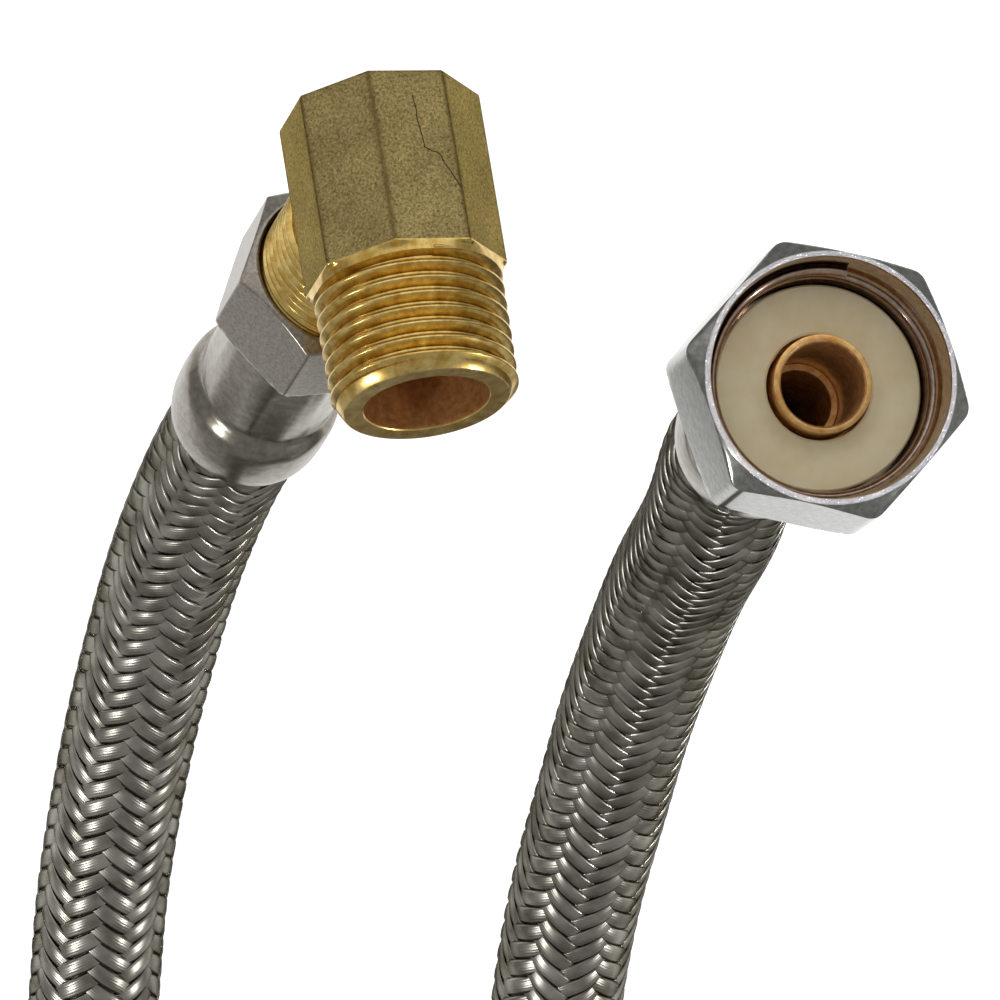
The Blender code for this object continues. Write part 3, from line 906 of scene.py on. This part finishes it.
# How near each point lies to a corner of the octagon; the brass is painted darker there.
near_corner = []
for vertex in elbow_block.data.vertices:
    spot = arm_inverse @ vertex.co
    beside = abs((math.degrees(math.atan2(spot.y, spot.x))) % 45 - 22.5)
    near_corner.append(0.75 * max(0.0, 1 - beside / 2.4))
corner = elbow_block.data.attributes.new("corner", "FLOAT", "POINT")
corner.data.foreach_set("value", near_corner)


def drawing_crack():
    """A hair crack in the bar's skin, dark with old oil."""
    made, _, _ = new_material("oily_crack", "#33270f", 0.6, 0.3)
    path = [(-0.25, -4.5), (-0.42, -3.3), (-0.36, -2.3), (-0.48, -1.3), (-0.58, -0.4), (-0.65, 0.5)]
    path += [(-1.31, 0.9), (-1.7, 1.0), (-1.98, 1.3), (-2.2, 2.1), (-2.57, 2.7), (-3.31, 4.4)]
    line = [ARM @ (Vector((8.2, side, height)) * MM) for side, height in path]
    crack = path_curve("bar_crack", line)
    crack.data.bevel_depth = 0.045 * MM
    crack.data.use_fill_caps = True
    crack.data.materials.append(made)
    return crack


bar_crack = drawing_crack()
ROUND = np.linspace(0.0, math.tau, 97)[:-1]
port_section = [(6.4, -5.0), (6.4, -19.1), (6.2, -19.5), (3.8, -19.5), (3.6, -19.2), (3.6, -5.0)]
elbow_port = swept(
    "elbow_port", rows_of(eased(port_section, 0.08)), ROUND, PORT, (TURNED_BRASS,)
)

# %% [markdown]
# ## Threads
# A thread is a ridge that climbs a helix, so one small tree draws them all: a spiral, a section
# like the thread's tooth, and Curve to Mesh. The ridge fades at both ends, as the tool leaves the
# metal. The pipe thread has 18 turns an inch and tapers by 1 in 16.


# %% Thread tree
def thread_tree():
    """A tooth swept up a helix about Z, with its root on the given radii."""
    tree, given, result = node_group(
        "thread_ridge",
        [
            ("Start radius", "Float"),
            ("End radius", "Float"),
            ("Length", "Float"),
            ("Pitch", "Float"),
            ("Depth", "Float"),
            ("Facing", "Float"),
            ("Crest", "Float"),
            ("Fade", "Float"),
            ("Material", "Material"),
        ],
    )
    given = given.outputs
    turns = add(
        tree, "ShaderNodeMath", {0: given["Length"], 1: given["Pitch"]}, operation="DIVIDE"
    )
    spiral = add(
        tree,
        "GeometryNodeCurveSpiral",
        {
            "Resolution": 72,
            "Rotations": turns.outputs[0],
            "Start Radius": given["Start radius"],
            "End Radius": given["End radius"],
            "Height": given["Length"],
        },
    )
    place = add(tree, "GeometryNodeInputPosition")
    level = add(
        tree,
        "ShaderNodeVectorMath",
        {0: place.outputs[0], 1: (1.0, 1.0, 0.0)},
        operation="MULTIPLY",
    )
    away = add(tree, "ShaderNodeVectorMath", {0: level.outputs[0]}, operation="NORMALIZE")
    facing = add(
        tree,
        "ShaderNodeVectorMath",
        {0: away.outputs[0], "Scale": given["Facing"]},
        operation="SCALE",
    )
    upright = add(
        tree,
        "GeometryNodeSetCurveNormal",
        {"Curve": spiral.outputs["Curve"], "Normal": facing.outputs[0]},
        mode="FREE",
    )
    spot = add(tree, "GeometryNodeSplineParameter")
    other = add(
        tree, "ShaderNodeMath", {0: 1.0, 1: spot.outputs["Factor"]}, operation="SUBTRACT"
    )
    nearer = add(
        tree,
        "ShaderNodeMath",
        {0: spot.outputs["Factor"], 1: other.outputs[0]},
        operation="MINIMUM",
    )
    in_turns = add(
        tree, "ShaderNodeMath", {0: nearer.outputs[0], 1: turns.outputs[0]}, operation="MULTIPLY"
    )
    fade = add(
        tree,
        "ShaderNodeMapRange",
        {"Value": in_turns.outputs[0], "From Max": given["Fade"], "To Min": 0.12},
    )
    faded = add(
        tree,
        "GeometryNodeSetCurveRadius",
        {"Curve": upright.outputs["Curve"], "Radius": fade.outputs["Result"]},
    )
    foot = add(tree, "ShaderNodeMath", {0: given["Pitch"], 1: 0.98}, operation="MULTIPLY")
    crest = add(
        tree, "ShaderNodeMath", {0: given["Pitch"], 1: given["Crest"]}, operation="MULTIPLY"
    )
    tooth = add(
        tree,
        "GeometryNodeCurvePrimitiveQuadrilateral",
        {
            "Bottom Width": foot.outputs[0],
            "Top Width": crest.outputs[0],
            "Height": given["Depth"],
            "Offset": 0.0,
        },
        mode="TRAPEZOID",
    )
    easing = add(tree, "ShaderNodeMath", {0: given["Pitch"], 1: 0.07}, operation="MULTIPLY")
    eased_tooth = add(
        tree,
        "GeometryNodeFilletCurve",
        {"Curve": tooth.outputs["Curve"], "Radius": easing.outputs[0], "Count": 3},
        mode="POLY",
    )
    lift = add(tree, "ShaderNodeMath", {0: given["Depth"], 1: 0.45}, operation="MULTIPLY")
    move = add(tree, "ShaderNodeCombineXYZ", {"Y": lift.outputs[0]})
    seated = add(
        tree,
        "GeometryNodeTransform",
        {
            "Geometry": eased_tooth.outputs["Curve"],
            "Translation": move.outputs[0],
        },
    )
    turned = add(
        tree,
        "GeometryNodeTransform",
        {"Geometry": seated.outputs["Geometry"], "Rotation": (0.0, 0.0, -math.pi / 2)},
    )
    ridge = add(
        tree,
        "GeometryNodeCurveToMesh",
        {
            "Curve": faded.outputs["Curve"],
            "Profile Curve": turned.outputs["Geometry"],
            "Fill Caps": True,
        },
    )
    whole = add(tree, "GeometryNodeRealizeInstances", {"Geometry": ridge.outputs["Mesh"]})
    finished = add(
        tree,
        "GeometryNodeSetMaterial",
        {"Geometry": whole.outputs["Geometry"], "Material": given["Material"]},
    )
    tree.links.new(finished.outputs["Geometry"], result.inputs["Geometry"])
    return tree


THREAD_TREE = thread_tree()
blank = bpy.data.objects.new("blank", bpy.data.meshes.new("blank"))
bpy.context.scene.collection.objects.link(blank)


def thread(name, place, low, values):
    """A thread that starts at height low (in mm) on the axis of a frame."""
    ridge = from_nodes(name, blank, THREAD_TREE, values)
    ridge.data.transform(place @ Matrix.Translation((0.0, 0.0, low * MM)))
    ridge.data.set_sharp_from_angle(angle=math.radians(50))
    print(name, len(ridge.data.polygons), "faces")
    return ridge


pipe_thread = thread(
    "pipe_thread",
    ARM,
    9.95,
    {
        "Start radius": (PIPE_TOP_R - THREAD_DEPTH) * MM,
        "End radius": (PIPE_END_R - THREAD_DEPTH) * MM,
        "Length": 10.4 * MM,
        "Pitch": 1.411 * MM,
        "Depth": THREAD_DEPTH * MM,
        "Facing": 1.0,
        "Crest": 0.14,
        "Fade": 0.25,
        "Material": TURNED_BRASS,
    },
)
port_thread = thread(
    "port_thread",
    PORT,
    -19.0,
    {
        "Start radius": 6.4 * MM,
        "End radius": 6.4 * MM,
        "Length": 10.4 * MM,
        "Pitch": 1.058 * MM,
        "Depth": 0.6 * MM,
        "Facing": 1.0,
        "Crest": 0.14,
        "Fade": 0.25,
        "Material": TURNED_BRASS,
    },
)
for piece in (elbow_block, bar_crack, elbow_port, pipe_thread, port_thread):
    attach(piece, "elbow")
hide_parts("elbow_body")

# %% [markdown]
# ## The coupling nut
# It is milled from hexagonal brass bar, turned at its front to a 30 degree chamfer, and plated
# with satin nickel. The plating is thin, so it keeps the bar's fine sandy grain.


# %% Nickel and chrome finishes
def satin_nickel():
    """Electroplated nickel over milled brass: warm grey and satin, with a fine grain."""
    made, tree, shader = new_material("satin_nickel_plate", "#938e84", 0.3, 1.0)
    colour, specks, _ = speckled(tree, 3000.0, "#867f75", "#a59f95")
    tree.links.new(colour, shader.inputs["Base Color"])
    bump = add(
        tree, "ShaderNodeBump", {"Height": specks, "Strength": 0.25, "Distance": 0.00006}
    )
    tree.links.new(bump.outputs["Normal"], shader.inputs["Normal"])
    return made


def bright_chrome(name, low, high, roughness):
    """Chrome plate over brass: bright and cool, with the milled grain just showing through it."""
    return grained_metal(name, (low, high), roughness, 1.0, 1600.0, 0.12, 0.00005)


def burred_rim_painted_highlight():
    """The thin turned rim of the nut, where the tool has torn tiny burrs that glitter, on a near-white colour that
    is a painted highlight.
    """
    made, tree, shader = new_material("burred_chrome_rim_painted_highlight", "#f2eff2", 0.2, 1.0)
    _, specks, _ = speckled(tree, 2400.0, "#cfccd0", "#ffffff")
    bump = add(
        tree, "ShaderNodeBump", {"Height": specks, "Strength": 1.0, "Distance": 0.0004}
    )
    tree.links.new(bump.outputs["Normal"], shader.inputs["Normal"])
    return made


NICKEL = satin_nickel()
CHROME = bright_chrome("bright_chrome_plate", "#7f807a", "#9c9d97", 0.16)
CHROME_INSIDE = bright_chrome("thin_chrome_inside", "#9c887a", "#b9a698", 0.18)
# The rim's near-white colour is a painted highlight; the burrs are a bump.
BURRED_RIM_HIGHLIGHT = burred_rim_painted_highlight()

# %% Coupling nut
NUT_CORNER = 35.1  # degrees from the pipe thread's side to a corner
SIX_COUPLING = angles_for(6, NUT_CORNER)
hexagon = polygon_radius(SIX_COUPLING, 6, 15.8, 0.3, NUT_CORNER)
front, back = -16.67, -26.2
chamfer = [(7.62 + step * 0.12, front - 0.02 - step * 0.12 * 0.58) for step in range(15)]
outer = [(7.5, front, hexagon, 0)] + [(r, z, hexagon, 0) for r, z in chamfer]
outer += [(9.6, back + 0.9, hexagon, 0), (9.4, back + 0.55, hexagon, 0)]
outer += [(8.9, back + 0.28, hexagon, 0), (8.5, back + 0.1, hexagon, 0), (7.9, back, hexagon, 0)]
inner = rows_of(
    [(5.2, back), (5.1, back + 0.1), (5.1, -23.7), (7.2, -23.7), (7.2, front - 0.3), (7.4, front)]
)
coupling_nut = swept("coupling_nut_plated", outer + inner, SIX_COUPLING, PORT, (NICKEL,))
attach(coupling_nut, "coupling_nut")
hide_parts("coupling_nut")

# %% [markdown]
# ## The swivel nut
# The supply end's nut is larger and chrome-plated, with rounded corners. Its mouth is bored out,
# then two turns of the female thread show before the washer. The rim is a thin ring with
# glittering burrs, and its chrome is painted near white as a highlight.

# %% Swivel nut
SIX = angles_for(6)
wide_hexagon = polygon_radius(SIX, 6, 21.8, 1.5)
outer = [(10.42, 0.0, None, 1), (10.78, -0.02, wide_hexagon, 1), (10.86, -0.12, wide_hexagon, 0)]
outer += [(10.9 + 0.12 * step, -0.16 - 0.105 * step, wide_hexagon, 0) for step in range(15)]
outer += [
    (12.9, -4.0, wide_hexagon, 0), (12.9, -9.6, wide_hexagon, 0), (12.5, -10.3, wide_hexagon, 0),
]
outer += [
    (12.0, -10.7, wide_hexagon, 0), (11.4, -10.95, wide_hexagon, 0), (10.6, -11.0, wide_hexagon, 0),
]
inner = rows_of([(5.8, -11.0), (5.5, -10.8), (5.5, -8.9), (9.75, -8.9), (9.75, -3.2)], None, 2)
inner += rows_of([(9.85, -2.9), (10.1, -2.6), (10.2, -2.4), (10.3, -0.3)], None, 2)
swivel_nut = swept(
    "swivel_nut_plated", outer + inner, SIX, SWIVEL, (CHROME, BURRED_RIM_HIGHLIGHT, CHROME_INSIDE)
)
swivel_thread = thread(
    "swivel_thread",
    SWIVEL,
    -8.6,
    {
        "Start radius": 9.75 * MM,
        "End radius": 9.75 * MM,
        "Length": 5.9 * MM,
        "Pitch": 1.814 * MM,
        "Depth": 0.55 * MM,
        "Facing": -1.0,
        "Crest": 0.15,
        "Fade": 0.8,
        "Material": CHROME_INSIDE,
    },
)
for piece in (swivel_nut, swivel_thread):
    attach(piece, "swivel_nut")
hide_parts("swivel_nut")


# %% [markdown]
# ## The washer and the tailpiece
# The flat washer is pale, slightly translucent rubber, a little proud around the tube. The
# tailpiece is a brass tube that comes up through it: its rim is faced bright, and a smaller bore
# begins deep inside, with a step that catches the light.


# %% Washer
def washer_rubber():
    """Cream thermoplastic rubber: dull and a little waxy, darker where it has been handled."""
    made, tree, shader = new_material("cream_washer_rubber", "#f8e8bc", 0.5, 0.0)
    colour, specks, _ = speckled(tree, 220.0, "#f0dcac", "#fcf0cc", (0.3, 0.7), 3.0)
    tree.links.new(colour, shader.inputs["Base Color"])
    shader.inputs["Subsurface Weight"].default_value = 0.15
    shader.inputs["Subsurface Radius"].default_value = (0.6 * MM, 0.5 * MM, 0.35 * MM)
    bump = add(
        tree, "ShaderNodeBump", {"Height": specks, "Strength": 0.15, "Distance": 0.0001}
    )
    tree.links.new(bump.outputs["Normal"], shader.inputs["Normal"])
    return made


WASHER = washer_rubber()
washer_section = [
    (8.75, -5.45), (8.9, -5.6), (8.9, -6.85), (8.75, -7.0), (4.7, -7.0), (4.56, -6.85),
    (4.56, -5.2), (4.75, -5.1), (5.3, -5.32), (5.9, -5.42), (6.6, -5.38), (7.6, -5.4),
]
flat_washer = swept("flat_washer_cream", rows_of(washer_section), ROUND, SWIVEL, (WASHER,))
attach(flat_washer, "hose")
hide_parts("flat_washer")

# %% Tailpiece
outside = rows_of(
    eased([(4.25, -3.4), (4.25, -7.3), (8.8, -7.3), (8.8, -8.6), (4.8, -8.6), (4.8, -12.1),
           (3.9, -12.9), (3.9, -26.8)], 0.1)[2:],
)
inside = rows_of([(2.9, -26.8), (2.9, -14.15), (2.98, -14.0)], None, 1)
inside += rows_of([(3.5, -14.0)], None, 0)
inside += rows_of([(3.6, -13.9), (3.6, -3.75), (3.68, -3.55)], None, 1)
lip_rows = rows_of([(3.8, -3.42), (4.1, -3.4)])
tailpiece = swept(
    "tailpiece_brass", outside + inside + lip_rows, ROUND, SWIVEL, (RED_BRASS, BORE_REFLECTION_RED_BRASS)
)
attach(tailpiece, "hose")
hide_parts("tailpiece")

# %% [markdown]
# ## The ferrules
# A ferrule is a stainless cup pressed on over the braid. The crimping jaws leave eight flats
# along its neck, and where they stop the metal swells out to a rolled lip, with a dark hollow
# between.


# %% Ferrules
def pressed_stainless():
    """Pressed stainless sheet: soft grey, with drawn-out streaks and small dents from the jaws."""
    made, tree, shader = new_material("pressed_stainless", "#948f84", 0.24, 1.0)
    colour, specks, where = speckled(tree, 1400.0, "#7d776c", "#948f84")
    dents = add(tree, "ShaderNodeTexNoise", {"Vector": where, "Scale": 900.0, "Detail": 1.0})
    tree.links.new(colour, shader.inputs["Base Color"])
    bump = add(
        tree,
        "ShaderNodeBump",
        {"Height": dents.outputs["Fac"], "Strength": 0.15, "Distance": 0.0001},
    )
    tree.links.new(bump.outputs["Normal"], shader.inputs["Normal"])
    return made


STAINLESS = pressed_stainless()
CRIMPS = angles_for(8, 10.0)
crimp_flats = polygon_radius(CRIMPS, 8, 12.3, 2.2, 10.0)


def ferrule(name, top, place, node):
    """A ferrule whose neck starts at height top, in mm; its lip is turned in round the hose."""
    neck = [(5.9, 0.0), (6.15, -0.08), (6.35, -0.3), (6.4, -0.7), (6.4, -6.0), (6.4, -12.4)]
    rows = [(r, top + z, crimp_flats, 0) for r, z in neck]
    swell = [(6.3, -13.2), (6.32, -13.6), (6.6, -14.1), (7.0, -14.6), (7.2, -15.2), (7.28, -16.2)]
    swell += [
        (7.3, -18.5), (7.22, -20.2), (7.05, -21.2), (6.85, -21.8), (6.6, -22.0), (6.45, -21.8),
    ]
    inner_side = [
        (6.42, -20.5), (6.5, -15.2), (5.85, -13.0), (5.85, -0.7), (5.2, -0.5), (5.2, -0.05),
    ]
    rows += rows_of([(r, top + z) for r, z in swell + inner_side])
    made = swept(name, rows, CRIMPS, place, (STAINLESS,), sharp=60)
    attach(made, "hose")
    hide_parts(node)


ferrule("elbow_ferrule_crimped", -26.5, PORT, "elbow_ferrule")
ferrule("supply_ferrule_crimped", -11.3, SWIVEL, "supply_ferrule")

# %% [markdown]
# ## The straps that hold the coil
# Three hook-and-loop straps hold the turns together. Each one is pulled tight round the bundle,
# so its outline is that of a band stretched over the round hoses that pass there.


# %% Coil straps
def strap_weave():
    """Woven black nylon tape: dull, with ribs about 0.8 mm apart across its length."""
    made, tree, shader = new_material("black_nylon_tape", "#232323", 0.7, 0.0)
    where = add(tree, "ShaderNodeTexCoord")
    weave = add(
        tree,
        "ShaderNodeTexNoise",
        {"Vector": where.outputs["Object"], "Scale": 2200.0, "Detail": 1.0},
    )
    shader.inputs["Sheen Weight"].default_value = 0.3
    bump = add(
        tree,
        "ShaderNodeBump",
        {"Height": weave.outputs["Fac"], "Strength": 0.5, "Distance": 0.0002},
    )
    tree.links.new(bump.outputs["Normal"], shader.inputs["Normal"])
    return made


NYLON = strap_weave()
STRAP_ANGLES = (22.5, 142.5, 262.5)
STRAP_MIDDLE_OFFSET = 3.75
STRAP_HALF_WIDTH = 0.004


def hoses_at(angle):
    """Where the hose's turns cross a half plane through the coil's middle, as (radius, height)."""
    found = []
    travel = (COIL_STARTS - angle) % math.tau
    while travel <= COIL_TURNS:
        spot = coil_point(travel)
        reach = math.hypot(spot.x - COIL_MIDDLE[0], spot.y - COIL_MIDDLE[1])
        found.append((reach, spot.z))
        travel += math.tau
    return found


def strap_outline(centres, reach, count=64):
    """A band stretched round circles of one radius: points where it touches, all the way round."""
    points = []
    for way in np.linspace(math.tau, 0.0, count, endpoint=False):
        direction = np.array((math.cos(way), math.sin(way)))
        centre = max(centres, key=lambda spot: direction @ np.array(spot))
        points.append(np.array(centre) + reach * direction)
    return points


def coil_strap(number, degrees):
    angle = math.radians(degrees + STRAP_MIDDLE_OFFSET)
    centres = hoses_at(angle)
    inner = strap_outline(centres, HOSE_OD / 2 + 0.0001)
    outer = strap_outline(centres, HOSE_OD / 2 + 0.0011)
    middle = Vector((*COIL_MIDDLE, 0.0)) - WHOLE_MIDDLE
    outwards = Vector((math.cos(angle), math.sin(angle), 0.0))
    along_coil = Vector((-math.sin(angle), math.cos(angle), 0.0))
    points, faces = [], []
    sides = ((inner, 1), (outer, 1), (outer, -1), (inner, -1))
    for loop, side in sides:
        for radius, height in loop:
            spot = middle + outwards * radius + Vector((0, 0, height))
            points.append(spot + along_coil * side * STRAP_HALF_WIDTH)
    count = len(inner)
    for band in range(4):
        a, b = band * count, (band + 1) % 4 * count
        for j in range(count):
            k = (j + 1) % count
            faces.append((a + j, a + k, b + k, b + j))
    mesh = bpy.data.meshes.new(f"coil_strap_tape_{number}")
    mesh.from_pydata(points, [], faces)
    mesh.materials.append(NYLON)
    mesh.shade_smooth()
    mesh.set_sharp_from_angle(angle=math.radians(40))
    strap = bpy.data.objects.new(mesh.name, mesh)
    bpy.context.scene.collection.objects.link(strap)
    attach(strap, "hose")
    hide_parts(f"coil_strap_{number}")


for number, degrees in enumerate(STRAP_ANGLES, start=1):
    coil_strap(number, degrees)

# %% [markdown]
# ## Pieces that stay as they are
# The gasket, the stem and the ends of the tube and the braid sit inside other pieces. Their
# shapes in the frame are right, so they only get their finishes.

# %% Finishes for the hidden pieces
HIDDEN = {
    "cone_gasket": RUBBER,
    "coupling_stem": TURNED_BRASS,
    "elbow_tube_end": RUBBER,
    "supply_tube_end": RUBBER,
    "elbow_braid_end": WIRE,
    "supply_braid_end": WIRE,
}
for name, finish in HIDDEN.items():
    mesh = frame["nodes"][name].data
    mesh.materials.clear()
    mesh.materials.append(finish)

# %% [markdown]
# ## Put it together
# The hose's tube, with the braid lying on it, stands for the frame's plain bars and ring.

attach(tube, "hose")
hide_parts("hose_coil", "elbow_hose_run", "supply_hose_run")
for piece in braid_pieces:
    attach(piece, "hose")
bpy.data.objects.remove(blank)
